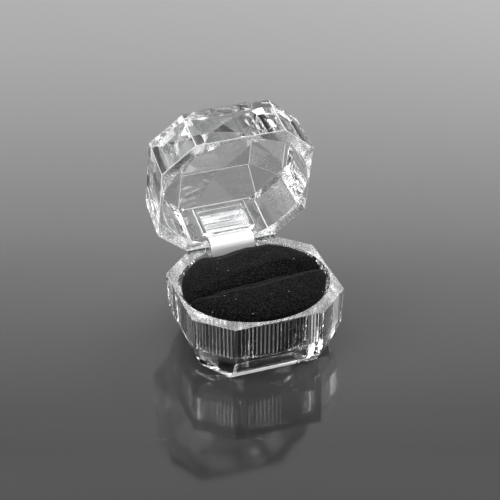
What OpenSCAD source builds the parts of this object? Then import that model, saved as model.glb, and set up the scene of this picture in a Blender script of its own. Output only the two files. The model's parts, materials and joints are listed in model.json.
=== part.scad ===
// Ring display box: a clear case with cut corners, its lid swung open on the hinge stop.
// Units are millimetres. The origin is the middle of the underside: +Z up, -Y front,
// and the hinge runs along X at the rear.

/* [Outside] */
// Width of the box along the hinge
box_width = 40; // [38:0.5:44]
// Depth of the box, front to rear
box_depth = 37.2; // [36:0.2:42]
// Length of the flat strips on the front and the rear
front_strip = 23.2; // [21.5:0.2:24]
// Length of the flat strips on the left and the right
side_strip = 21.4; // [19:0.2:23]
// Width that is left of a corner facet where it runs out
corner_tip = 0.2; // [0.1:0.05:0.4]

/* [Base outside] */
// Height of the upright sides of the base
base_side_height = 10.4; // [10:0.2:13]
// Height of the narrow bevel under the base sides
base_bevel_height = 3.6; // [3:0.2:4.4]
// Height of the shallow facets round the underside
base_foot_height = 3.1; // [2.8:0.1:4]
// How far the base sides lean in over their height
base_lean = 0.5; // [0.2:0.05:0.6]
// How far the narrow bevel of the base steps in
base_bevel_inset = 1.5; // [1:0.1:1.8]
// Width of the flat underside
foot_width = 23.6; // [20:0.2:26]
// Depth of the flat underside
foot_depth = 29; // [26:0.2:30]

/* [Lid outside] */
// Height of the upright sides of the lid
lid_side_height = 12.2; // [11.6:0.2:14]
// Height of the narrow bevel above the lid sides
lid_bevel_height = 2.2; // [2:0.2:3]
// Height of the crown facets, from the narrow bevel to the table
lid_crown_height = 3.9; // [3.6:0.1:4.2]
// How far the lid sides lean in over their height
lid_lean = 0.35; // [0.2:0.05:0.6]
// How far the narrow bevel of the lid steps in
lid_bevel_inset = 1.6; // [1:0.1:1.8]
// How far the triangular crown facets step in over the height of the crown
crown_inset = 6.3; // [6.2:0.05:6.5]
// Width of the rhombic table on top of the lid, from tip to tip
table_width = 21.6; // [20.6:0.2:22]
// Depth below the narrow bevel at which the large corner facets begin
corner_drop = 0.3; // [0.2:0.05:0.5]

/* [Lid ceiling] */
// Height of the flat ceiling above the lid rim
ceiling_height = 15.4; // [14.8:0.1:15.5]
// Width of the flat ceiling
ceiling_width = 18.8; // [17:0.2:19]
// Depth of the flat ceiling
ceiling_depth = 12.6; // [11:0.2:12.8]
// Height of the inner shoulder above the lid rim
shoulder_height = 11.4; // [10.8:0.1:11.6]
// Width of the hollow at its inner shoulder
shoulder_width = 34.6; // [32:0.2:34.8]
// Depth of the hollow at its inner shoulder
shoulder_depth = 29.4; // [28:0.2:30]
// Height of the skirt facets under the inner shoulder
skirt_height = 4; // [3:0.2:5]

/* [Walls] */
// Thinnest wall beside the opening, at the left and the right of the rim
rim_wall_side = 0.65; // [0.5:0.05:1]
// Thinnest wall beside the opening, at the front of the rim
rim_wall_front = 1; // [0.8:0.05:1.4]
// Thickness of plastic over the underside
foot_wall = 2.1; // [1.8:0.1:2.4]
// How far the inner bevel of the base lies above the outer one
shoulder_drop = 1.6; // [1.3:0.1:1.75]
// How far the oval hollow of the lid narrows from rim to ceiling
lid_taper = 1.3; // [0.5:0.1:1.6]
// Points round each oval
oval_points = 96; // [64:8:112]

/* [Fluted pocket] */
// Depth of the pocket below the rim, down to the ledge under the pad
pocket_depth = 10.5; // [10:0.1:11]
// Height of the sloping lead-in round the mouth of the pocket
lead_in_height = 1; // [0.6:0.1:1.4]
// How far the lead-in slopes in
lead_in = 0.75; // [0.5:0.05:0.9]
// Spacing of the flutes round the wall
flute_pitch = 1; // [0.9:0.05:1.5]
// Width of the narrow rib between two flutes
rib_width = 0.36; // [0.2:0.02:0.5]
// Height of a rib
flute_depth = 0.2; // [0.1:0.02:0.3]
// Width of the ledge that the pad rests on
ledge = 1.2; // [0.8:0.1:2]

/* [Hinge] */
// Distance of the hinge line in from the rear face at the rim
hinge_inset = 0.3; // [0.28:0.02:0.36]
// Height of the hinge line above the rim of the base
hinge_rise = 0.4; // [0.38:0.02:0.46]
// Gap between the two rims when the box is shut
rim_gap = 0.3; // [0.26:0.02:0.34]
// Angle from shut to the stop
open_angle = 76.5; // [60:0.5:77]
// Radius of the hinge pins
pin_radius = 0.6; // [0.45:0.05:0.65]
// Clearance between a pin and the knuckle that turns on it
pin_clearance = 0.05; // [0.02:0.01:0.08]
// Wall of plastic round a pin
knuckle_wall = 0.5; // [0.4:0.05:0.55]
// Gap round a knuckle or a lug in the rim that it dips into
relief_gap = 0.3; // [0.2:0.02:0.34]
// Gap between the end of a knuckle and a lug
end_gap = 0.2; // [0.12:0.02:0.26]
// Length of a lid knuckle
knuckle_length = 3.5; // [3:0.1:3.6]
// Length of an outer lug of the base
outer_lug_length = 1.1; // [0.9:0.1:1.3]
// Bevel on the ends of a pin
pin_bevel = 0.12; // [0.05:0.01:0.2]

/* [Snap spring] */
// Width of the steel strip
spring_width = 11.8; // [10:0.1:11.8]
// Thickness of the steel strip
spring_thickness = 0.3; // [0.2:0.02:0.36]
// Distance of the strip in from the hinge line
spring_offset = 2.2; // [2.1:0.05:2.4]
// Length of strip below the rim of the base
spring_down = 9; // [7:0.1:9.4]
// Length of strip above the rim of the lid
spring_up = 8.7; // [7:0.1:9]
// Play of the strip in its slot, on each face
spring_play = 0.1; // [0.06:0.01:0.14]
// Play of the strip in its slot, at each edge
spring_side_play = 0.3; // [0.2:0.02:0.34]
// Spare travel above the strip when the lid is open
spring_travel = 2; // [1:0.1:2]

/* [Spring housings] */
// Thickness of the wall in front of the strip
housing_front_wall = 0.95; // [0.8:0.05:1]
// Thickness of the walls beside the strip
housing_side_wall = 0.9; // [0.8:0.05:1]
// Top of the base housing below the rim
base_housing_drop = 2.5; // [2:0.1:3]
// Foot of the lid housing above the lid rim
lid_housing_rise = 1.8; // [1.8:0.1:2.4]
// Spare travel under the strip in the base housing
spring_foot_gap = 0.5; // [0.2:0.1:0.6]

/* [Pad] */
// Gap between the pad and the flutes
pad_gap = 0.1; // [0.05:0.01:0.2]
// Gap between the pad and the spring housing
pad_rear_gap = 0.3; // [0.2:0.05:0.5]
// Height of the crown of the pad above the rim
pad_rise = 2; // [1:0.1:3]
// Gap between the pad and the edge of the mouth that it swells out to
pad_mouth_gap = 0.3; // [0.25:0.05:0.5]
// Depth below the rim at which the pad starts to round over
pad_shoulder = 0.2; // [0.1:0.05:0.5]
// Fullness of the crown: 2 is an ellipse, more is squarer
pad_fullness = 2.6; // [2:0.1:4]
// Steps of the crown from its shoulder to its top
pad_steps = 9; // [5:1:10]
// Thickness of the velvet skin
velvet_thickness = 0.4; // [0.3:0.05:0.6]
// Thickness of the backing card
card_thickness = 1; // [0.6:0.1:1.4]
// Width of the ring slit between its two velvet lips
slit_width = 0.8; // [0.5:0.1:1.4]
// Depth of the ring slit below the rim
slit_depth = 6; // [4:0.1:7]
// Turn of the ring slit from the hinge line
slit_turn = 5; // [-8:0.5:8]
// Distance of the ring slit in front of the middle
slit_forward = 1.8; // [0:0.1:3]

/* [Hidden] */
$fn = 48;

// Margin by which a cutter passes the face that it cuts
over = 1;
// Length by which the flat stretches of strip run into its bend
bend_lap = 0.03;

base_height = base_side_height + base_bevel_height + base_foot_height;
lid_height = lid_side_height + lid_bevel_height + lid_crown_height;
half_width = box_width / 2;
half_depth = box_depth / 2;
corner_cut = (box_width - front_strip) / 2;
corner_ratio = (box_depth - side_strip) / (box_width - front_strip);

// A level of a shell: height from its rim, half width, half depth, corner cut along X
base_rim = [0, half_width, half_depth, corner_cut];
base_waist = base_rim + [base_side_height, -base_lean, -base_lean, -base_lean];
base_edge = base_waist
  + [base_bevel_height, -base_bevel_inset, -base_bevel_inset, -base_bevel_inset];
base_foot = [base_height, foot_width / 2, foot_depth / 2, corner_tip];
lid_rim = base_rim;
lid_waist = lid_rim + [lid_side_height, -lid_lean, -lid_lean, -lid_lean];
lid_edge = lid_waist
  + [lid_bevel_height, -lid_bevel_inset, -lid_bevel_inset, -lid_bevel_inset];
lid_roof = [lid_height, lid_edge[1] - crown_inset, lid_edge[2] - crown_inset, corner_tip];
lid_skirt = lid_waist + [shoulder_height - skirt_height - lid_side_height, 0, 0, 0];
lid_shoulder = [shoulder_height, shoulder_width / 2, shoulder_depth / 2, lid_edge[3]];
lid_ceiling = [ceiling_height, ceiling_width / 2, ceiling_depth / 2, corner_tip];

mouth = [half_width - rim_wall_side, half_depth - rim_wall_front];
pocket = mouth - [lead_in, lead_in];
flute_crest = pocket - [flute_depth, flute_depth];
flutes = round(PI * (pocket.x + pocket.y) / flute_pitch);
ledge_oval = flute_crest - [ledge, ledge];
ceiling_oval = mouth - [lid_taper, lid_taper];

hinge_y = half_depth - hinge_inset;
hinge_z = base_height + hinge_rise;
lid_rim_z = base_height + rim_gap;
bore_radius = pin_radius + pin_clearance;
knuckle_radius = bore_radius + knuckle_wall;
relief_radius = knuckle_radius + relief_gap;

slot_half = spring_width / 2 + spring_side_play;
inner_lug_end = slot_half + housing_side_wall;
knuckle_start = inner_lug_end + end_gap;
knuckle_end = knuckle_start + knuckle_length;
outer_lug_start = knuckle_end + end_gap;
outer_lug_end = outer_lug_start + outer_lug_length;

spring_y = hinge_y - spring_offset;
slot_thickness = spring_thickness + 2 * spring_play;
housing_front = spring_y - slot_thickness / 2 - housing_front_wall;
lid_slot_top = spring_up + spring_travel;

pad_oval = flute_crest - [pad_gap, pad_gap];
pad_mouth_oval = mouth - [pad_mouth_gap, pad_mouth_gap];
pad_floor = base_height - pocket_depth;
pad_rear = housing_front - pad_rear_gap;
pad_notch_half = inner_lug_end + pad_rear_gap;
crown_sweep = 80;

function blend(a, b, t) = a + (b - a) * t;
function deeper(level, amount) = level + [amount, 0, 0, 0];

// The eight corners of a level, anticlockwise from above
function cut_rectangle(level) =
  let (
    hx = level[1],
    hy = level[2],
    cx = level[3],
    cy = level[3] * corner_ratio
  )
  [
    [hx, cy - hy], [hx, hy - cy], [hx - cx, hy], [cx - hx, hy],
    [-hx, hy - cy], [-hx, cy - hy], [cx - hx, -hy], [hx - cx, -hy]
  ];

function oval(radii, count = oval_points) =
  [for (i = [0:count - 1]) [radii.x * cos(i * 360 / count), radii.y * sin(i * 360 / count)]];

function fluted_oval(radii) =
  [
    for (i = [0:flutes - 1], side = [-1, 0, 1])
      let (
        angle = (i + side * rib_width / flute_pitch / 2) * 360 / flutes,
        inset = side == 0 ? flute_depth : 0
      )
      [(radii.x - inset) * cos(angle), (radii.y - inset) * sin(angle)]
  ];

function at_height(points, z) = [for (p = points) [p.x, p.y, z]];

// A closed solid through rings of equal length, each one above the last
module stacked(rings) {
  count = len(rings[0]);
  last = (len(rings) - 1) * count;
  polyhedron(
    points = [for (ring = rings) each ring],
    faces = concat(
      [[for (i = [0:count - 1]) i]],
      [
        for (r = [0:len(rings) - 2], i = [0:count - 1])
          let (j = (i + 1) % count)
          [r * count + i, r * count + i + count, r * count + j + count, r * count + j]
      ],
      [[for (i = [count - 1:-1:0]) last + i]]
    ),
    convexity = 4
  );
}

// A stepped gem through its levels
module gem(levels) {
  stacked([for (level = levels) at_height(cut_rectangle(level), level[0])]);
}

// Half diagonals of the rhombus on which the corner sides of a level lie
function corner_rhombus(level) = (level[1] - level[3] + level[2] / corner_ratio) * [1, corner_ratio];

function rhombus(radii) = oval(radii, 4);

// The planes of the four large corner facets, which meet over the middle of each side
module corner_planes() {
  start = lid_side_height - corner_drop;
  tips = table_width / 2 * [1, corner_ratio];
  spread = (corner_rhombus(lid_waist) - tips) / (lid_height - start);
  stacked([
    at_height(rhombus(tips + spread * (lid_height + over)), -over),
    at_height(rhombus(tips - spread * over), lid_height + over)
  ]);
}

// A round bar along X on the hinge line, from x0 to x1 and mirrored to the other side
module hinge_bars(x0, x1, radius) {
  for (side = [-1, 1])
    translate([side * (x0 + x1) / 2, hinge_y, hinge_z])
      rotate([0, 90, 0])
        cylinder(r = radius, h = x1 - x0, center = true);
}

// A block across the middle, from y0 to y1 and z0 to z1
module middle_block(half, y0, y1, z0, z1) {
  translate([-half, y0, z0])
    cube([2 * half, y1 - y0, z1 - z0]);
}

// Moves what is built shut to where the open lid stands
module swing_open() {
  translate([0, hinge_y, hinge_z])
    rotate([-open_angle, 0, 0])
      translate([0, -hinge_y, -hinge_z])
        children();
}

module base_outside() {
  translate([0, 0, base_height])
    mirror([0, 0, 1])
      gem([base_rim, base_waist, base_edge, base_foot]);
}

// The inner gem of the base, whose facets run parallel to the outer ones
module base_inner_gem() {
  band = base_foot[0] - base_edge[0];
  shoulder = deeper(blend(base_edge, base_foot, (foot_wall - shoulder_drop) / band), -foot_wall);
  skirt = shoulder + 2 * (base_waist - base_edge);
  gem([deeper(skirt, -over - skirt[0]), skirt, shoulder, deeper(base_foot, -foot_wall)]);
}

module base_hollow() {
  translate([0, 0, base_height])
    mirror([0, 0, 1]) {
      translate([0, 0, -over])
        linear_extrude(over)
          polygon(oval(mouth));
      stacked([at_height(oval(mouth), 0), at_height(oval(pocket), lead_in_height)]);
      linear_extrude(pocket_depth)
        polygon(fluted_oval(pocket));
      intersection() {
        linear_extrude(base_height)
          polygon(oval(ledge_oval));
        base_inner_gem();
      }
    }
}

// Two ribs beside the strip, from the base housing up to the rim
module spring_guides() {
  low = base_height - base_housing_drop - over;
  difference() {
    middle_block(inner_lug_end, housing_front, mouth.y, low, base_height);
    middle_block(slot_half, housing_front - over, mouth.y + over, low - over, base_height + over);
  }
}

module base_shell() {
  rim = base_height;
  color([0.88, 0.9, 0.92, 0.4])
    difference() {
      union() {
        difference() {
          base_outside();
          base_hollow();
        }
        intersection() {
          base_outside();
          middle_block(inner_lug_end, housing_front, half_depth, 0, rim - base_housing_drop);
        }
        spring_guides();
        hinge_bars(slot_half, inner_lug_end, knuckle_radius);
        hinge_bars(outer_lug_start, outer_lug_end, knuckle_radius);
      }
      middle_block(
        slot_half,
        spring_y - slot_thickness / 2,
        spring_y + slot_thickness / 2,
        rim - spring_down - spring_foot_gap,
        rim + over
      );
      hinge_bars(knuckle_start - end_gap, knuckle_end + end_gap, relief_radius);
      hinge_bars(slot_half - end_gap / 2, outer_lug_end + end_gap / 2, pin_radius);
    }
}

module lid_outside() {
  translate([0, 0, lid_rim_z])
    intersection() {
      gem([lid_rim, lid_waist, lid_edge, lid_roof]);
      corner_planes();
    }
}

module lid_hollow() {
  translate([0, 0, lid_rim_z]) {
    translate([0, 0, -over])
      linear_extrude(over)
        polygon(oval(mouth));
    intersection() {
      stacked([at_height(oval(mouth), 0), at_height(oval(ceiling_oval), lid_height)]);
      gem([deeper(lid_skirt, -over - lid_skirt[0]), lid_skirt, lid_shoulder, lid_ceiling]);
    }
  }
}

module lid_shell() {
  rim = lid_rim_z;
  color([0.9, 0.92, 0.94, 0.4])
    swing_open()
      difference() {
        union() {
          difference() {
            lid_outside();
            lid_hollow();
          }
          intersection() {
            lid_outside();
            middle_block(
              inner_lug_end, housing_front, half_depth, rim + lid_housing_rise, rim + lid_height
            );
          }
          hinge_bars(knuckle_start, knuckle_end, knuckle_radius);
        }
        middle_block(
          slot_half,
          spring_y - slot_thickness / 2,
          spring_y + slot_thickness / 2,
          rim - over,
          rim + lid_slot_top
        );
        hinge_bars(slot_half - end_gap, knuckle_start, relief_radius);
        hinge_bars(knuckle_end, outer_lug_end + end_gap, relief_radius);
        hinge_bars(knuckle_start - over, knuckle_end + over, bore_radius);
      }
}

// One steel pin with bevelled ends
module hinge_pin(side) {
  length = outer_lug_end - slot_half;
  color("silver")
    translate([side * (slot_half + length / 2), hinge_y, hinge_z])
      rotate([0, 90, 0])
        rotate_extrude()
          polygon([
            [0, -length / 2], [pin_radius - pin_bevel, -length / 2],
            [pin_radius, pin_bevel - length / 2], [pin_radius, length / 2 - pin_bevel],
            [pin_radius - pin_bevel, length / 2], [0, length / 2]
          ]);
}

module hinge_pin_left() {
  hinge_pin(-1);
}

module hinge_pin_right() {
  hinge_pin(1);
}

// A flat stretch of strip between two heights, as it stands when shut
module spring_flat(z0, z1) {
  middle_block(
    spring_width / 2, spring_y - spring_thickness / 2, spring_y + spring_thickness / 2, z0, z1
  );
}

module snap_spring() {
  color("gainsboro")
    union() {
      spring_flat(base_height - spring_down, hinge_z + bend_lap);
      translate([0, hinge_y, hinge_z])
        rotate([90, 0, 0])
          rotate([0, -90, 0])
            rotate_extrude(angle = open_angle)
              translate([spring_offset - spring_thickness / 2, -spring_width / 2])
                square([spring_thickness, spring_width]);
      swing_open()
        spring_flat(hinge_z - bend_lap, lid_rim_z + spring_up);
    }
}

// The crowned form of the pad, drawn in by inset on every face but the bottom
module pad_form(inset, bottom) {
  neck = pad_oval - [inset, inset];
  radii = pad_mouth_oval - [inset, inset];
  neck_z = base_height - lead_in_height - pad_shoulder;
  shoulder_z = base_height - pad_shoulder;
  rise = pad_rise + pad_shoulder - inset;
  power = 2 / pad_fullness;
  crown = [
    for (step = [0:pad_steps])
      let (angle = step * crown_sweep / pad_steps)
      at_height(oval(radii * pow(cos(angle), power)), shoulder_z + rise * pow(sin(angle), power))
  ];
  difference() {
    stacked(concat([at_height(oval(neck), bottom), at_height(oval(neck), neck_z)], crown));
    translate([0, 0, bottom - over])
      middle_block(
        pad_notch_half + inset, pad_rear - inset, half_depth, 0, base_height + pad_rise + over
      );
    translate([0, -slit_forward, base_height - slit_depth - inset])
      rotate(slit_turn)
        translate([-half_width, -slit_width / 2 - inset, 0])
          cube([box_width, slit_width + 2 * inset, slit_depth + pad_rise + over + inset]);
  }
}

module pad_cover() {
  color([0.08, 0.08, 0.08])
    difference() {
      pad_form(0, pad_floor);
      pad_form(velvet_thickness, pad_floor - over);
    }
}

module pad_foam() {
  color([0.25, 0.25, 0.27])
    pad_form(velvet_thickness, pad_floor + card_thickness);
}

module pad_card() {
  color([0.6, 0.58, 0.55])
    intersection() {
      pad_form(velvet_thickness, pad_floor);
      translate([-half_width, -half_depth, pad_floor])
        cube([box_width, box_depth, card_thickness]);
    }
}

base_shell();
lid_shell();
hinge_pin_left();
hinge_pin_right();
snap_spring();
pad_foam();
pad_cover();
pad_card();
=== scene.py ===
import json
import math

import bmesh
import bpy
from mathutils import Matrix, Vector, noise


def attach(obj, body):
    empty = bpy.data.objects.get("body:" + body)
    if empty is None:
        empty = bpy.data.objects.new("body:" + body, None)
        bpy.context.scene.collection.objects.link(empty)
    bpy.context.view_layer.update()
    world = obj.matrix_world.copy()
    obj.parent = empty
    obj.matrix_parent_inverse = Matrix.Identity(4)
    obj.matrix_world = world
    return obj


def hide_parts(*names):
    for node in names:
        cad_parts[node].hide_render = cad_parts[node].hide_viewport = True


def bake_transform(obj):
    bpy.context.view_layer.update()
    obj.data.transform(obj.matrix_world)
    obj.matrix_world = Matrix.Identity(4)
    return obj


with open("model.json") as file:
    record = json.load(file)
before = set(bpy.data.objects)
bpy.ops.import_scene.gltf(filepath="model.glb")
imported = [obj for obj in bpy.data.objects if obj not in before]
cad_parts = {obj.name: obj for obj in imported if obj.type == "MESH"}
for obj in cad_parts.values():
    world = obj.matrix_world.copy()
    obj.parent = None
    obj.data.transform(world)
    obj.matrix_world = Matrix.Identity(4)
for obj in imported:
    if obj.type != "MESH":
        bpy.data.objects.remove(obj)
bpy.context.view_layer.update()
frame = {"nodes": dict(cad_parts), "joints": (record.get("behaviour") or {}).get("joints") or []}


# ---------------------------------------------------------------- camera
# A long lens at the front left looks down at the open box. The picture is square, and
# it is centred a little beside and above the middle of the rim of the base.
MM = 0.001
camera_azimuth = math.radians(19.69)
camera_elevation = math.radians(33.07)
camera_distance = 428.28 * MM
camera_to_left = 1.07 * MM
camera_to_top = 7.85 * MM
nearest_seen = 10 * MM
base_rim = 17.1 * MM
picture_width = 500
focal_pixels = 1700
sensor = 36.0


def put_in_scene(name, data):
    placed = bpy.data.objects.new(name, data)
    bpy.context.scene.collection.objects.link(placed)
    return placed


towards = Vector((
    math.sin(camera_azimuth) * math.cos(camera_elevation),
    math.cos(camera_azimuth) * math.cos(camera_elevation),
    -math.sin(camera_elevation),
))
rightward = towards.cross(Vector((0, 0, 1))).normalized()
upward = rightward.cross(towards)
lens = bpy.data.cameras.new("studio_camera")
lens.sensor_width = sensor
lens.lens = focal_pixels / picture_width * sensor
lens.clip_start = nearest_seen
camera = put_in_scene("studio_camera", lens)
picture_centre = Vector((0, 0, base_rim)) - rightward * camera_to_left + upward * camera_to_top
camera.location = picture_centre - towards * camera_distance
camera.rotation_euler = towards.to_track_quat("-Z", "Y").to_euler()
bpy.context.scene.camera = camera


# ---------------------------------------------------------------- studio
# A polished floor whose colour runs from near black by the camera to grey behind. The run
# is painted light: it stands in for how the studio light falls on the floor. It lies in a
# grey tent with soft boxes in front, above and at the sides. None of it is the box.
floor_size = 6.0
floor_near = 0.27
floor_far = 0.60
floor_painted_light = [
    (0.12, 0.018), (0.165, 0.031), (0.262, 0.073), (0.408, 0.145),
    (0.509, 0.177), (0.62, 0.211), (0.749, 0.242), (0.873, 0.261),
]
tent_light = 0.45
tent_bands = [(0.0, 0.0), (0.36, 0.0), (0.4, 1.4), (0.55, 0.3), (0.65, 1.4), (0.75, 0.0)]
lamp_aim = Vector((0, 0.01, 0.02))


def new_finish(name, values):
    """A material with these values on its shader, and its node tree."""
    material = bpy.data.materials.new(name)
    material.use_nodes = True
    for socket, value in values.items():
        material.node_tree.nodes["Principled BSDF"].inputs[socket].default_value = value
    return material, material.node_tree


def on_surface(tree, socket, source):
    """Lead a pattern into one socket of the shader."""
    tree.links.new(source, tree.nodes["Principled BSDF"].inputs[socket])


def on_object(tree):
    """Where a point of the piece lies, in metres."""
    return tree.nodes.new("ShaderNodeTexCoord").outputs["Object"]


def ramp(tree, value, stops):
    """Grey tones that follow a value, each stop a place on it and a level."""
    node = tree.nodes.new("ShaderNodeValToRGB")
    elements = node.color_ramp.elements
    while len(elements) < len(stops):
        elements.new(0.5)
    for element, (place, level) in zip(elements, stops):
        element.position = place
        element.color = (level, level, level, 1)
    tree.links.new(value, node.inputs["Fac"])
    return node.outputs["Color"]


def combined(tree, operation, first, second):
    node = tree.nodes.new("ShaderNodeMath")
    node.operation = operation
    tree.links.new(first, node.inputs[0])
    tree.links.new(second, node.inputs[1])
    return node.outputs["Value"]


bm = bmesh.new()
bmesh.ops.create_grid(bm, x_segments=1, y_segments=1, size=floor_size / 2)
floor_mesh = bpy.data.meshes.new("studio_floor")
bm.to_mesh(floor_mesh)
bm.free()
floor = put_in_scene("studio_floor", floor_mesh)
material, tree = new_finish("polished_floor", {"Roughness": 0.08, "Specular IOR Level": 0.5})
floor_mesh.materials.append(material)
# Distance from the camera's foot along its line of sight becomes 0 to 1 along Y
span = floor_far - floor_near
sight = Vector((towards.x, towards.y, 0)).normalized()
start = Vector((camera.location.x, camera.location.y, 0)).dot(sight) + floor_near
along_sight = tree.nodes.new("ShaderNodeMapping")
along_sight.inputs["Rotation"].default_value = (0, 0, camera_azimuth)
along_sight.inputs["Scale"].default_value = (1 / span, 1 / span, 1)
along_sight.inputs["Location"].default_value = (0, -start / span, 0)
tree.links.new(on_object(tree), along_sight.inputs["Vector"])
distance = tree.nodes.new("ShaderNodeSeparateXYZ")
tree.links.new(along_sight.outputs["Vector"], distance.inputs["Vector"])
# The floor's colour follows this distance: painted light and shade, darker near the camera and lighter
# behind
on_surface(tree, "Base Color", ramp(tree, distance.outputs["Y"], floor_painted_light))

world = bpy.data.worlds.new("studio_tent")
bpy.context.scene.world = world
world.use_nodes = True
tree = world.node_tree
tent = tree.nodes["Background"]
tent.inputs["Color"].default_value = (1, 1, 1, 1)
# The tent lights evenly, but shows as bands where it is mirrored or seen through plastic
height = tree.nodes.new("ShaderNodeSeparateXYZ")
tree.links.new(tree.nodes.new("ShaderNodeTexCoord").outputs["Generated"], height.inputs["Vector"])
light_path = tree.nodes.new("ShaderNodeLightPath").outputs
tent_level = tree.nodes.new("ShaderNodeMapRange")
tent_level.inputs["To Min"].default_value = tent_light
tree.links.new(ramp(tree, height.outputs["Z"], tent_bands), tent_level.inputs["To Max"])
shown = combined(tree, "MAXIMUM", light_path["Is Glossy Ray"], light_path["Is Transmission Ray"])
tree.links.new(shown, tent_level.inputs["Value"])
tree.links.new(tent_level.outputs["Result"], tent.inputs["Strength"])

# Rays cross and bounce inside the thick clear walls many times
bpy.context.scene.cycles.max_bounces = 24
bpy.context.scene.cycles.glossy_bounces = 16
bpy.context.scene.cycles.transmission_bounces = 24


def soft_box(name, place, width, height, level):
    """A lamp whose face glows at this level, whatever its size."""
    lamp = bpy.data.lights.new(name, "AREA")
    lamp.shape = "RECTANGLE"
    lamp.size = width
    lamp.size_y = height
    lamp.energy = level * math.pi * width * height
    placed = put_in_scene(name, lamp)
    placed.location = place
    placed.rotation_euler = (lamp_aim - Vector(place)).to_track_quat("-Z", "Y").to_euler()


soft_box("overhead_box", (0.0, -0.02, 0.60), width=0.55, height=0.55, level=1.7)
soft_box("front_box", (-0.15, -0.50, 0.50), width=0.45, height=0.45, level=1.3)
soft_box("left_box", (-0.50, -0.10, 0.20), width=0.36, height=0.58, level=4.5)
soft_box("right_box", (0.50, 0.10, 0.20), width=0.36, height=0.58, level=4.5)


# ---------------------------------------------------------------- clear shells
# The base and the lid are injection moulded in clear polystyrene. Their facets are
# polished in the mould. The flat rims, where the halves meet, are left matt, and the
# edges round the lid's hollow catch the light as frosted lines.
plastic_tint = (0.98, 0.985, 0.99, 1)
plastic_ior = 1.57
weld_within = 0.002 * MM
flat_within = math.radians(0.4)
level_within = 0.01 * MM
level_normal = 0.999
shell_sharp = math.radians(16)
edge_round = 0.15 * MM
inner_edge_round = 0.5 * MM
ceiling_edge_round = 0.24 * MM
rim_edge_round = 0.15 * MM
least_edge_angle = math.radians(9)
least_edge_length = 2.2 * MM
least_edge_by_hinge = 5 * MM
ceiling_from = 24 * MM
lid_frosted_below = 29 * MM
rim_gap = 0.3 * MM
lid_rim = base_rim + rim_gap
hinge_half = 12.6 * MM
hinge_front = 13.5 * MM
round_outside = 1
round_inside = 2
lid_hinge = frame["joints"][0]
hinge_line = Vector(lid_hinge["pos_m"])
open_angle = math.radians(-lid_hinge["range_deg"][0])
swing_open = (
    Matrix.Translation(hinge_line) @ Matrix.Rotation(-open_angle, 4, "X") @ Matrix.Translation(-hinge_line)
)


def noise_pattern(tree, vector, scale, detail=2, roughness=0.5):
    node = tree.nodes.new("ShaderNodeTexNoise")
    node.inputs["Scale"].default_value = scale
    node.inputs["Detail"].default_value = detail
    node.inputs["Roughness"].default_value = roughness
    tree.links.new(vector, node.inputs["Vector"])
    return node.outputs


def cell_pattern(tree, vector, scale, feature="F1"):
    node = tree.nodes.new("ShaderNodeTexVoronoi")
    node.feature = feature
    node.inputs["Scale"].default_value = scale
    tree.links.new(vector, node.inputs["Vector"])
    return node.outputs


def spread(tree, value, low, high, value_low=0, value_high=1):
    """A value drawn out between low and high."""
    node = tree.nodes.new("ShaderNodeMapRange")
    node.inputs["From Min"].default_value = value_low
    node.inputs["From Max"].default_value = value_high
    node.inputs["To Min"].default_value = low
    node.inputs["To Max"].default_value = high
    tree.links.new(value, node.inputs["Value"])
    return node.outputs["Result"]


def add_relief(tree, height, strength, depth):
    """Fine dents in the surface that follow this height."""
    node = tree.nodes.new("ShaderNodeBump")
    node.inputs["Strength"].default_value = strength
    node.inputs["Distance"].default_value = depth
    tree.links.new(height, node.inputs["Height"])
    on_surface(tree, "Normal", node.outputs["Normal"])


def clear_plastic(name):
    material, tree = new_finish(name, {
        "Base Color": plastic_tint, "IOR": plastic_ior, "Transmission Weight": 1.0,
    })
    place = on_object(tree)
    # Hairline scratches: the thin borders of a twisted cell pattern, broken into pieces
    twisted = tree.nodes.new("ShaderNodeMix")
    twisted.data_type = "VECTOR"
    twisted.inputs["Factor"].default_value = 0.012
    tree.links.new(place, twisted.inputs["A"])
    tree.links.new(noise_pattern(tree, place, scale=90)["Color"], twisted.inputs["B"])
    cells = cell_pattern(tree, twisted.outputs["Result"], scale=130, feature="DISTANCE_TO_EDGE")
    hairlines = ramp(tree, cells["Distance"], [(0.0, 1.0), (0.012, 0.0)])
    patches = ramp(tree, noise_pattern(tree, place, scale=260)["Fac"], [(0.52, 0.0), (0.62, 1.0)])
    scratches = combined(tree, "MULTIPLY", hairlines, patches)
    on_surface(tree, "Roughness", spread(tree, scratches, 0.015, 0.35))
    # The melt sets a little unevenly, so the faces are never quite flat
    add_relief(tree, noise_pattern(tree, place, scale=220, detail=3)["Fac"], strength=0.12, depth=0.1 * MM)
    return material


def matt_plastic(name, transmission, smoothest, roughest):
    """Plastic with a fine grain from the mould, which scatters what light it lets by."""
    material, tree = new_finish(name, {
        "Base Color": plastic_tint, "IOR": plastic_ior, "Transmission Weight": transmission,
    })
    grain = noise_pattern(tree, on_object(tree), scale=2600, detail=3, roughness=0.7)["Fac"]
    on_surface(tree, "Roughness", spread(tree, grain, smoothest, roughest, value_low=0.35, value_high=0.65))
    add_relief(tree, grain, strength=0.4, depth=0.05 * MM)
    return material


def by_hinge(vert):
    return abs(vert.co.x) < hinge_half and vert.co.y > hinge_front


def is_level_with(rim, verts):
    return all(abs(vert.co.z - rim) < level_within for vert in verts)


def is_facet_edge(edge, convex):
    """A long edge that bends this way, apart from the short ones of the lugs and knuckles."""
    length = edge.calc_length()
    is_of_hinge = length < least_edge_by_hinge and any(by_hinge(v) for v in edge.verts)
    return length > least_edge_length and edge.is_convex == convex and not is_of_hinge


def is_ceiling_edge(edge):
    """An inner edge high in the lid, with room beside it for its rounding."""
    beside = min(e.calc_length() for v in edge.verts for e in v.link_edges)
    is_high = all(v.co.z > ceiling_from for v in edge.verts)
    return is_high and beside > ceiling_edge_round and is_facet_edge(edge, False)


def is_rim_edge(edge, rim):
    return is_level_with(rim, edge.verts) and not any(by_hinge(v) for v in edge.verts)


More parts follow.
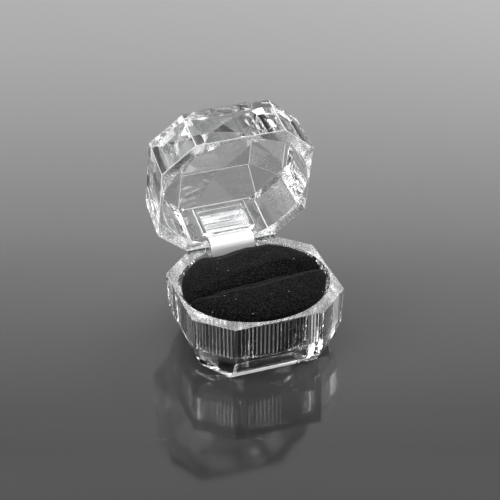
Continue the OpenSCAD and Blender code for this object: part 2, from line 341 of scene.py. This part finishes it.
def moulded_shell(node, name, body, rim, from_shut, frosted_below):
    """The plain shell with its edges rounded, its rim matt and its low edges frosted."""
    mesh = frame["nodes"][node].data.copy()
    mesh.name = name
    bm = bmesh.new()
    bm.from_mesh(mesh)
    # Work on the shell as it stands when shut, with its rim level
    bm.transform(from_shut.inverted())
    bmesh.ops.remove_doubles(bm, verts=bm.verts, dist=weld_within)
    bmesh.ops.dissolve_limit(
        bm, angle_limit=flat_within, use_dissolve_boundaries=False, verts=bm.verts, edges=bm.edges
    )
    rounding = bm.faces.layers.int.new("rounding")

    def round_off(side, radius, is_chosen):
        edges = [
            edge
            for edge in bm.edges
            if edge.is_manifold and edge.calc_face_angle() > least_edge_angle and is_chosen(edge)
            and not any(face[rounding] for face in edge.link_faces)
        ]
        made = bmesh.ops.bevel(
            bm, geom=edges, offset=radius, segments=2, profile=0.5, affect="EDGES", material=-1,
            clamp_overlap=True,
        )
        for face in made["faces"]:
            face[rounding] = side

    round_off(round_outside, edge_round, lambda edge: is_facet_edge(edge, True))
    round_off(round_inside, ceiling_edge_round, is_ceiling_edge)
    round_off(round_inside, inner_edge_round, lambda edge: is_facet_edge(edge, False))
    round_off(round_inside, rim_edge_round, lambda edge: is_rim_edge(edge, rim))
    for face in bm.faces:
        face.smooth = True
        is_low_outside = face[rounding] == round_outside and face.calc_center_median().z < frosted_below
        if abs(face.normal.z) > level_normal and is_level_with(rim, face.verts):
            face.material_index = 1
        elif frosted_below and (face[rounding] == round_inside or is_low_outside):
            face.material_index = 2
    # A facet stays flat right up to the rounding of its edges
    for edge in bm.edges:
        first, second = (face[rounding] > 0 for face in edge.link_faces)
        edge.smooth = first == second and edge.calc_face_angle() < shell_sharp
    bm.faces.layers.int.remove(rounding)
    bm.transform(from_shut)
    mesh.materials.clear()
    mesh.materials.append(clear_plastic(name))
    mesh.materials.append(matt_plastic(name + "_rim", transmission=0.84, smoothest=0.08, roughest=0.38))
    mesh.materials.append(matt_plastic(name + "_edges", transmission=0.42, smoothest=0.3, roughest=0.6))
    bm.to_mesh(mesh)
    bm.free()
    shell = put_in_scene(name, mesh)
    # Nearly all the light gets through the lid, so it throws no shadow
    shell.visible_shadow = node != "lid_shell"
    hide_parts(node)
    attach(shell, body)


moulded_shell(
    "base_shell", "clear_base", "base", rim=base_rim, from_shut=Matrix.Identity(4), frosted_below=0
)
moulded_shell(
    "lid_shell", "clear_lid", "lid", rim=lid_rim, from_shut=swing_open, frosted_below=lid_frosted_below
)


# ---------------------------------------------------------------- hinge pins
# Two short pins of bright steel wire, cut and bevelled at both ends, pressed into the
# lugs of the base. The knuckles of the lid turn on them.
def stretched(tree, scale):
    """Where a point of the piece lies, scaled along X, Y and Z to draw a pattern out."""
    node = tree.nodes.new("ShaderNodeMapping")
    node.inputs["Scale"].default_value = scale
    tree.links.new(on_object(tree), node.inputs["Vector"])
    return node.outputs["Vector"]


def dress(mesh, material):
    mesh.materials.clear()
    mesh.materials.append(material)


material, tree = new_finish("turned_steel", {"Metallic": 1.0})
rings = noise_pattern(tree, stretched(tree, (9000, 900, 900)), scale=1, detail=4)["Fac"]
on_surface(tree, "Base Color", ramp(tree, rings, [(0.3, 0.42), (0.7, 0.72)]))
on_surface(tree, "Roughness", spread(tree, rings, 0.08, 0.24))
add_relief(tree, rings, strength=0.3, depth=0.02 * MM)
for node in ("hinge_pin_left", "hinge_pin_right"):
    dress(frame["nodes"][node].data, material)


# ---------------------------------------------------------------- snap strip
# A flat strip of polished spring steel. It stands in a slot of the base, bends round
# the hinge and runs up into the slot of the lid, which it pulls shut or open.
strip_width = 11.8 * MM
strip_thickness = 0.3 * MM
strip_edge = 0.05 * MM
strip_from_hinge = 2.2 * MM
strip_y = hinge_line.y - strip_from_hinge
strip_foot = lid_hinge["deforming_nodes"][0]["fixed_end_z_m"]
strip_up = 8.7 * MM
cuts_across = 7
steps_in_base = 18
steps_in_bend = 20
steps_in_lid = 54
waves_in_lid = 2
wave_height = 0.12 * MM
bright_from = 0.32 * MM
bright_edge = 1.6 * MM
strip_weld = 0.0001 * MM
strip_corner = math.radians(60)
strip_sharp = math.radians(50)

bm = bmesh.new()
bmesh.ops.create_grid(bm, x_segments=1, y_segments=1, size=0.5)
bmesh.ops.scale(bm, vec=(strip_width, strip_thickness, 1), verts=bm.verts)
bmesh.ops.translate(bm, vec=(0, strip_y, strip_foot), verts=bm.verts)
bmesh.ops.delete(bm, geom=list(bm.faces), context="FACES_ONLY")
across = [e for e in bm.edges if abs(e.verts[0].co.x - e.verts[1].co.x) > strip_width / 2]
bmesh.ops.subdivide_edges(bm, edges=across, cuts=cuts_across)


def of_kind(kind, geometry):
    return [part for part in geometry if isinstance(part, kind)]


def lengthen(ring, way, steps, bow=Vector((0, 0, 0))):
    """Draw the ring out along a way; the bow makes the strip wavy by that much."""
    offset = 0
    for step in range(1, steps + 1):
        grown = bmesh.ops.extrude_edge_only(bm, edges=ring)["geom"]
        ring = of_kind(bmesh.types.BMEdge, grown)
        wave = math.sin(2 * math.pi * waves_in_lid * step / steps)
        ends = of_kind(bmesh.types.BMVert, grown)
        bmesh.ops.translate(bm, vec=way / steps + bow * (wave - offset), verts=ends)
        offset = wave
    return ring


ring = lengthen(list(bm.edges), Vector((0, 0, hinge_line.z - strip_foot)), steps_in_base)
bent = bmesh.ops.spin(
    bm, geom=ring, cent=hinge_line, axis=(1, 0, 0), angle=-open_angle, steps=steps_in_bend, use_merge=False
)
ring = of_kind(bmesh.types.BMEdge, bent["geom_last"])
up_the_lid = swing_open.to_3x3() @ Vector((0, 0, lid_rim + strip_up - hinge_line.z))
lengthen(ring, up_the_lid, steps_in_lid, swing_open.to_3x3() @ Vector((0, wave_height, 0)))
bmesh.ops.remove_doubles(bm, verts=bm.verts, dist=strip_weld)
bmesh.ops.holes_fill(bm, edges=[e for e in bm.edges if e.is_boundary], sides=0)
bmesh.ops.recalc_face_normals(bm, faces=bm.faces)
corners = [e for e in bm.edges if e.is_manifold and e.calc_face_angle() > strip_corner]
bmesh.ops.bevel(
    bm, geom=corners, offset=strip_edge, segments=2, profile=0.5, affect="EDGES", material=-1,
    clamp_overlap=True,
)
for face in bm.faces:
    face.smooth = True
strip_mesh = bpy.data.meshes.new("steel_strip")
bm.to_mesh(strip_mesh)
bm.free()
strip_mesh.set_sharp_from_angle(angle=strip_sharp)
# The part inside the lid is polished metal. Below it the strip is rougher and mostly not
# metallic, so its pale colour shows as a flat white: a painted reflection standing in for
# the light the bent steel throws back
in_lid = strip_mesh.attributes.new("in_lid", "FLOAT", "POINT")
for vert, value in zip(strip_mesh.vertices, in_lid.data):
    above_rim = (swing_open.inverted() @ vert.co).z - lid_rim
    value.value = min(1, max(0, (above_rim - bright_from) / bright_edge))
strip = put_in_scene("steel_strip", strip_mesh)

material, tree = new_finish("polished_steel", {})
rolling = noise_pattern(tree, stretched(tree, (300, 5200, 5200)), scale=1, detail=5, roughness=0.65)["Fac"]
on_surface(tree, "Base Color", ramp(tree, rolling, [(0.3, 0.78), (0.7, 0.93)]))
bright = tree.nodes.new("ShaderNodeAttribute")
bright.attribute_name = "in_lid"
# Painted reflection: outside the lid the steel is made mostly not metallic, so its pale colour reads as
# white
on_surface(tree, "Metallic", spread(tree, bright.outputs["Fac"], 0.2, 0.85))
polish = spread(tree, rolling, 0.08, 0.2)
rougher_below_lid = spread(tree, bright.outputs["Fac"], 0.3, 0.0)
on_surface(tree, "Roughness", combined(tree, "ADD", polish, rougher_below_lid))
add_relief(tree, rolling, strength=0.12, depth=0.02 * MM)
dress(strip_mesh, material)
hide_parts("snap_spring")
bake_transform(strip)


# ---------------------------------------------------------------- ring pad
# Two foam cushions, each wrapped in black velvet, pressed side by side into the
# pocket. The ring stands in the slit between them, where the velvet rolls down.
pad_floor = 6.6 * MM
pad_neck_height = 15.9 * MM
pad_shoulder_height = 16.9 * MM
pad_rise = 2.2 * MM
pad_neck_oval = Vector((18.3, 16.55)) * MM
pad_mouth_oval = Vector((19.05, 17.3)) * MM
pad_fullness = 2.6
oval_points = 128
crown_steps = 10
crown_step_degrees = 8.4
notch_half = 7.4 * MM
notch_front = 14.6 * MM
front_cushion, rear_cushion = -1, 1
slit_turn = math.radians(5)
slit_point = Vector((0, -1.8 * MM, 0))
slit_across = Vector((-math.sin(slit_turn), math.cos(slit_turn), 0))
slit_half_gap = 0.02 * MM
slit_weld = 0.0001 * MM
# The lip along the slit: its roll and its lift, and how it closes up to the left
lip_roll = {front_cushion: 1.8 * MM, rear_cushion: 5.5 * MM}
lip_lift = {front_cushion: 0.15 * MM, rear_cushion: 0.0}
lip_opens_at = -13 * MM
lip_opens_over = 20 * MM
closed_lip = 0.12
corner_roll = 2.6 * MM
left_corner_roll = 0.3 * corner_roll
upper_from = 11 * MM
upper_over = 6 * MM
lumps = ((160, 0.22 * MM), (420, 0.07 * MM))
least_reach = 0.01
even_by_wall = 3 * MM
pressed_x, pressed_y = -4.5 * MM, 15 * MM
pressed_width, pressed_length = 4 * MM, 3.5 * MM
pressed_depth = 0.9 * MM
velvet_pile = 0.35 * MM
velvet_inset = 0.2 * MM
velvet_voxel = 0.6 * MM
held_height = 1.5 * MM
open_below = 0.8 * MM
glued_height = 0.05 * MM
tuft_fineness = 1700
tuft_height = 0.07 * MM
cloth_scale = 10
most_swell = 0.3 * MM
swell_steps = 14


def cushion_form(side, inset):
    """One half of the pad as a closed solid, drawn in by inset on every face."""
    sunk = Vector((inset, inset))
    neck = pad_neck_oval - sunk
    mouth = pad_mouth_oval - sunk
    rings = [(neck, pad_floor), (neck, pad_neck_height)]
    power = 2 / pad_fullness
    for step in range(crown_steps + 1):
        angle = math.radians(crown_step_degrees * step)
        rings.append((
            mouth * math.cos(angle) ** power,
            pad_shoulder_height + (pad_rise - inset) * math.sin(angle) ** power,
        ))
    bm = bmesh.new()
    bmesh.ops.create_circle(bm, cap_ends=False, radius=1, segments=oval_points)
    ring = list(bm.edges)
    for level, (radii, height) in enumerate(rings):
        if level:
            ring = of_kind(bmesh.types.BMEdge, bmesh.ops.extrude_edge_only(bm, edges=ring)["geom"])
        for vert in {v for e in ring for v in e.verts}:
            around = math.atan2(vert.co.y, vert.co.x)
            vert.co = (radii.x * math.cos(around), radii.y * math.sin(around), height)
    bmesh.ops.holes_fill(bm, edges=[e for e in bm.edges if e.is_boundary], sides=0)
    # The notch for the spring housing
    for vert in bm.verts:
        if abs(vert.co.x) < notch_half + inset:
            vert.co.y = min(vert.co.y, notch_front - inset)
    bmesh.ops.bisect_plane(
        bm, geom=bm.verts[:] + bm.edges[:] + bm.faces[:], dist=slit_weld,
        plane_co=slit_point + side * (slit_half_gap + inset) * slit_across, plane_no=slit_across * side,
        clear_inner=True,
    )
    bmesh.ops.holes_fill(bm, edges=[e for e in bm.edges if e.is_boundary], sides=0)
    bmesh.ops.recalc_face_normals(bm, faces=bm.faces)
    return bm


def frozen_mesh(piece):
    """The piece's mesh with its modifiers applied; the piece itself goes."""
    result = bpy.data.meshes.new_from_object(piece.evaluated_get(bpy.context.evaluated_depsgraph_get()))
    bpy.data.objects.remove(piece)
    return result


def modified(mesh, name, kind, settings):
    """A copy of the mesh with this modifier applied to it."""
    piece = put_in_scene(name, mesh)
    modifier = piece.modifiers.new(kind, kind)
    for setting, value in settings.items():
        setattr(modifier, setting, value)
    return frozen_mesh(piece)


def roll_over(first, second, radius, inset):
    """How far a point this deep behind two faces moves in to round their shared edge."""
    first_left = radius - first
    second_left = radius - second
    length = math.hypot(first_left, second_left)
    if first_left <= 0 or second_left <= 0 or radius <= inset or length <= radius - inset:
        return 0, 0
    keep = (radius - inset) / length
    return first_left * (1 - keep), second_left * (1 - keep)


def share(value, start, length):
    """How far a value has come along a stretch, from 0 to 1."""
    return min(1, max(0, (value - start) / length))


def rolled_cushion(side, inset, voxel):
    """One cushion, remeshed at this voxel size and rolled over at its lip and its corners."""
    bm = cushion_form(side, inset)
    mesh = bpy.data.meshes.new("cushion")
    bm.to_mesh(mesh)
    bm.free()
    mesh.transform(Matrix.Scale(cloth_scale, 4))
    mesh = modified(mesh, "cushion", "REMESH", {"mode": "VOXEL", "voxel_size": voxel * cloth_scale})
    mesh.transform(Matrix.Scale(1 / cloth_scale, 4))
    for vert in mesh.vertices:
        place = vert.co
        behind_slit = (place - slit_point).dot(slit_across) * side
        reach = math.hypot(place.x / pad_mouth_oval.x, place.y / pad_mouth_oval.y)
        outward = Vector((place.x, place.y, 0)).normalized()
        from_wall = (1 - reach) * math.hypot(place.x, place.y) / max(reach, least_reach)
        # The corners where the slit runs out
        corner = corner_roll if place.x > 0 else left_corner_roll
        back, inward = roll_over(behind_slit, from_wall, corner, inset)
        place = place + slit_across * side * back - outward * inward
        # The lip along the slit
        crown = pad_shoulder_height + pad_rise * max(0, 1 - reach ** pad_fullness) ** (1 / pad_fullness)
        upper = share(place.z, upper_from, upper_over)
        openness = closed_lip + (1 - closed_lip) * share(place.x, lip_opens_at, lip_opens_over)
        back, down = roll_over(behind_slit, max(0, crown - place.z), lip_roll[side] * openness, inset)
        place = place + slit_across * side * back * upper
        place.z -= down * upper
        # The hand-wrapped cushions are a little uneven
        uneven = sum(noise.noise(place * fineness) * height for fineness, height in lumps)
        place.z += (uneven + lip_lift[side] * openness) * upper * min(1, from_wall / even_by_wall)
        # The spring has pressed the rear edge down
        across = (place.x - pressed_x) / pressed_width
        along = (place.y - pressed_y) / pressed_length
        place.z -= pressed_depth * math.exp(-(across ** 2 + along ** 2)) * upper
        vert.co = place
    return mesh


def velvet_half(side):
    """One cushion's velvet, swollen as cloth under pressure."""
    mesh = rolled_cushion(side, velvet_inset, velvet_voxel)
    mesh.transform(Matrix.Scale(cloth_scale, 4))
    start = [v.co.copy() for v in mesh.vertices]
    piece = put_in_scene("cushion_cloth", mesh)
    held = piece.vertex_groups.new(name="held")
    held_below = (pad_floor + held_height) * cloth_scale
    held.add([v.index for v in mesh.vertices if v.co.z < held_below], 1, "REPLACE")
    cloth = piece.modifiers.new("cloth", "CLOTH")
    cloth.settings.quality = 3
    cloth.settings.mass = 0.3
    cloth.settings.tension_stiffness = 15
    cloth.settings.compression_stiffness = 15
    cloth.settings.bending_stiffness = 0.5
    cloth.settings.use_pressure = True
    cloth.settings.uniform_pressure_force = 4
    cloth.settings.vertex_group_mass = "held"
    cloth.settings.effector_weights.gravity = 0
    cloth.collision_settings.use_collision = False
    cloth.collision_settings.use_self_collision = False
    for step in range(1, swell_steps + 1):
        bpy.context.scene.frame_set(step)
    swollen = frozen_mesh(piece)
    bpy.context.scene.frame_set(1)
    for vert, first in zip(swollen.vertices, start):
        moved = vert.co - first
        if moved.length > most_swell * cloth_scale:
            vert.co = first + moved.normalized() * most_swell * cloth_scale
    swollen.transform(Matrix.Scale(1 / cloth_scale, 4))
    return swollen


halves = [velvet_half(front_cushion), velvet_half(rear_cushion)]
bm = bmesh.new()
for half in halves:
    bm.from_mesh(half)
# The skins are open below, where the velvet is glued round the card
under = [f for f in bm.faces if max(v.co.z for v in f.verts) < pad_floor + open_below]
bmesh.ops.delete(bm, geom=under, context="FACES")
for vert in bm.verts:
    if vert.is_boundary:
        vert.co.z = pad_floor + glued_height
for face in bm.faces:
    face.smooth = True
pad_mesh = bpy.data.meshes.new("velvet_pad")
bm.to_mesh(pad_mesh)
bm.free()
pad_mesh = modified(pad_mesh, "velvet", "SUBSURF", {"levels": 1, "render_levels": 1})
for vert, normal in zip(pad_mesh.vertices, [v.normal.copy() for v in pad_mesh.vertices]):
    vert.co += normal * noise.noise(vert.co * tuft_fineness) * tuft_height
pad_mesh.name = "velvet_pad"
pad = put_in_scene("velvet_pad", pad_mesh)
skin = pad.modifiers.new("skin", "SOLIDIFY")
skin.thickness = velvet_pile
skin.offset = -1

material, tree = new_finish("black_velvet", {
    "Roughness": 0.85, "Specular IOR Level": 0.04, "Sheen Weight": 0.05, "Sheen Roughness": 0.35,
})
place = on_object(tree)
pile = noise_pattern(tree, place, scale=2600, detail=4, roughness=0.7)["Fac"]
tufts = ramp(tree, pile, [(0.4, 0.0005), (0.52, 0.003), (0.64, 0.026)])
# Lint: a few pale grains caught in the pile
grains = cell_pattern(tree, place, scale=900)
chance = tree.nodes.new("ShaderNodeSeparateColor")
tree.links.new(grains["Color"], chance.inputs["Color"])
small = ramp(tree, grains["Distance"], [(0.10, 1.0), (0.16, 0.0)])
few = ramp(tree, chance.outputs["Red"], [(0.94, 0.0), (0.96, 1.0)])
dusted = tree.nodes.new("ShaderNodeMix")
dusted.data_type = "RGBA"
dusted.inputs["B"].default_value = (0.35, 0.35, 0.34, 1)
tree.links.new(combined(tree, "MULTIPLY", small, few), dusted.inputs["Factor"])
tree.links.new(tufts, dusted.inputs["A"])
on_surface(tree, "Base Color", dusted.outputs["Result"])
add_relief(tree, pile, strength=0.9, depth=0.3 * MM)
dress(pad_mesh, material)
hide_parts("pad_cover")
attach(pad, "base")


# ---------------------------------------------------------------- foam cores
# Under the velvet each cushion is a block of grey open-cell foam, cut to the same form
# and set down on the card.
foam_inset = 1.4 * MM
foam_voxel = 0.9 * MM
foam_floor = pad_floor + 1.05 * MM

bm = bmesh.new()
for side in (front_cushion, rear_cushion):
    bm.from_mesh(rolled_cushion(side, foam_inset, foam_voxel))
for vert in bm.verts:
    vert.co.z = max(vert.co.z, foam_floor)
for face in bm.faces:
    face.smooth = True
foam_mesh = bpy.data.meshes.new("foam_cores")
bm.to_mesh(foam_mesh)
bm.free()
foam = put_in_scene("foam_cores", foam_mesh)
material, tree = new_finish("grey_foam", {"Roughness": 0.95, "Specular IOR Level": 0.2})
pores = cell_pattern(tree, on_object(tree), scale=2600)["Distance"]
on_surface(tree, "Base Color", ramp(tree, pores, [(0.1, 0.03), (0.6, 0.12)]))
add_relief(tree, pores, strength=0.8, depth=0.1 * MM)
dress(foam_mesh, material)
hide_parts("pad_foam")
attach(foam, "base")


# ---------------------------------------------------------------- backing card
# A disc of grey chipboard under the cushions. The velvet is glued down round its edge,
# and it rests on the ledge of the pocket.
material, tree = new_finish("grey_chipboard", {"Roughness": 0.85, "Specular IOR Level": 0.25})
fibres = noise_pattern(tree, stretched(tree, (500, 2200, 2200)), scale=1, detail=6, roughness=0.7)["Fac"]
on_surface(tree, "Base Color", ramp(tree, fibres, [(0.35, 0.16), (0.5, 0.27), (0.65, 0.36)]))
add_relief(tree, fibres, strength=0.5, depth=0.05 * MM)
dress(frame["nodes"]["pad_card"].data, material)


bpy.context.scene.view_settings.view_transform = "Standard"
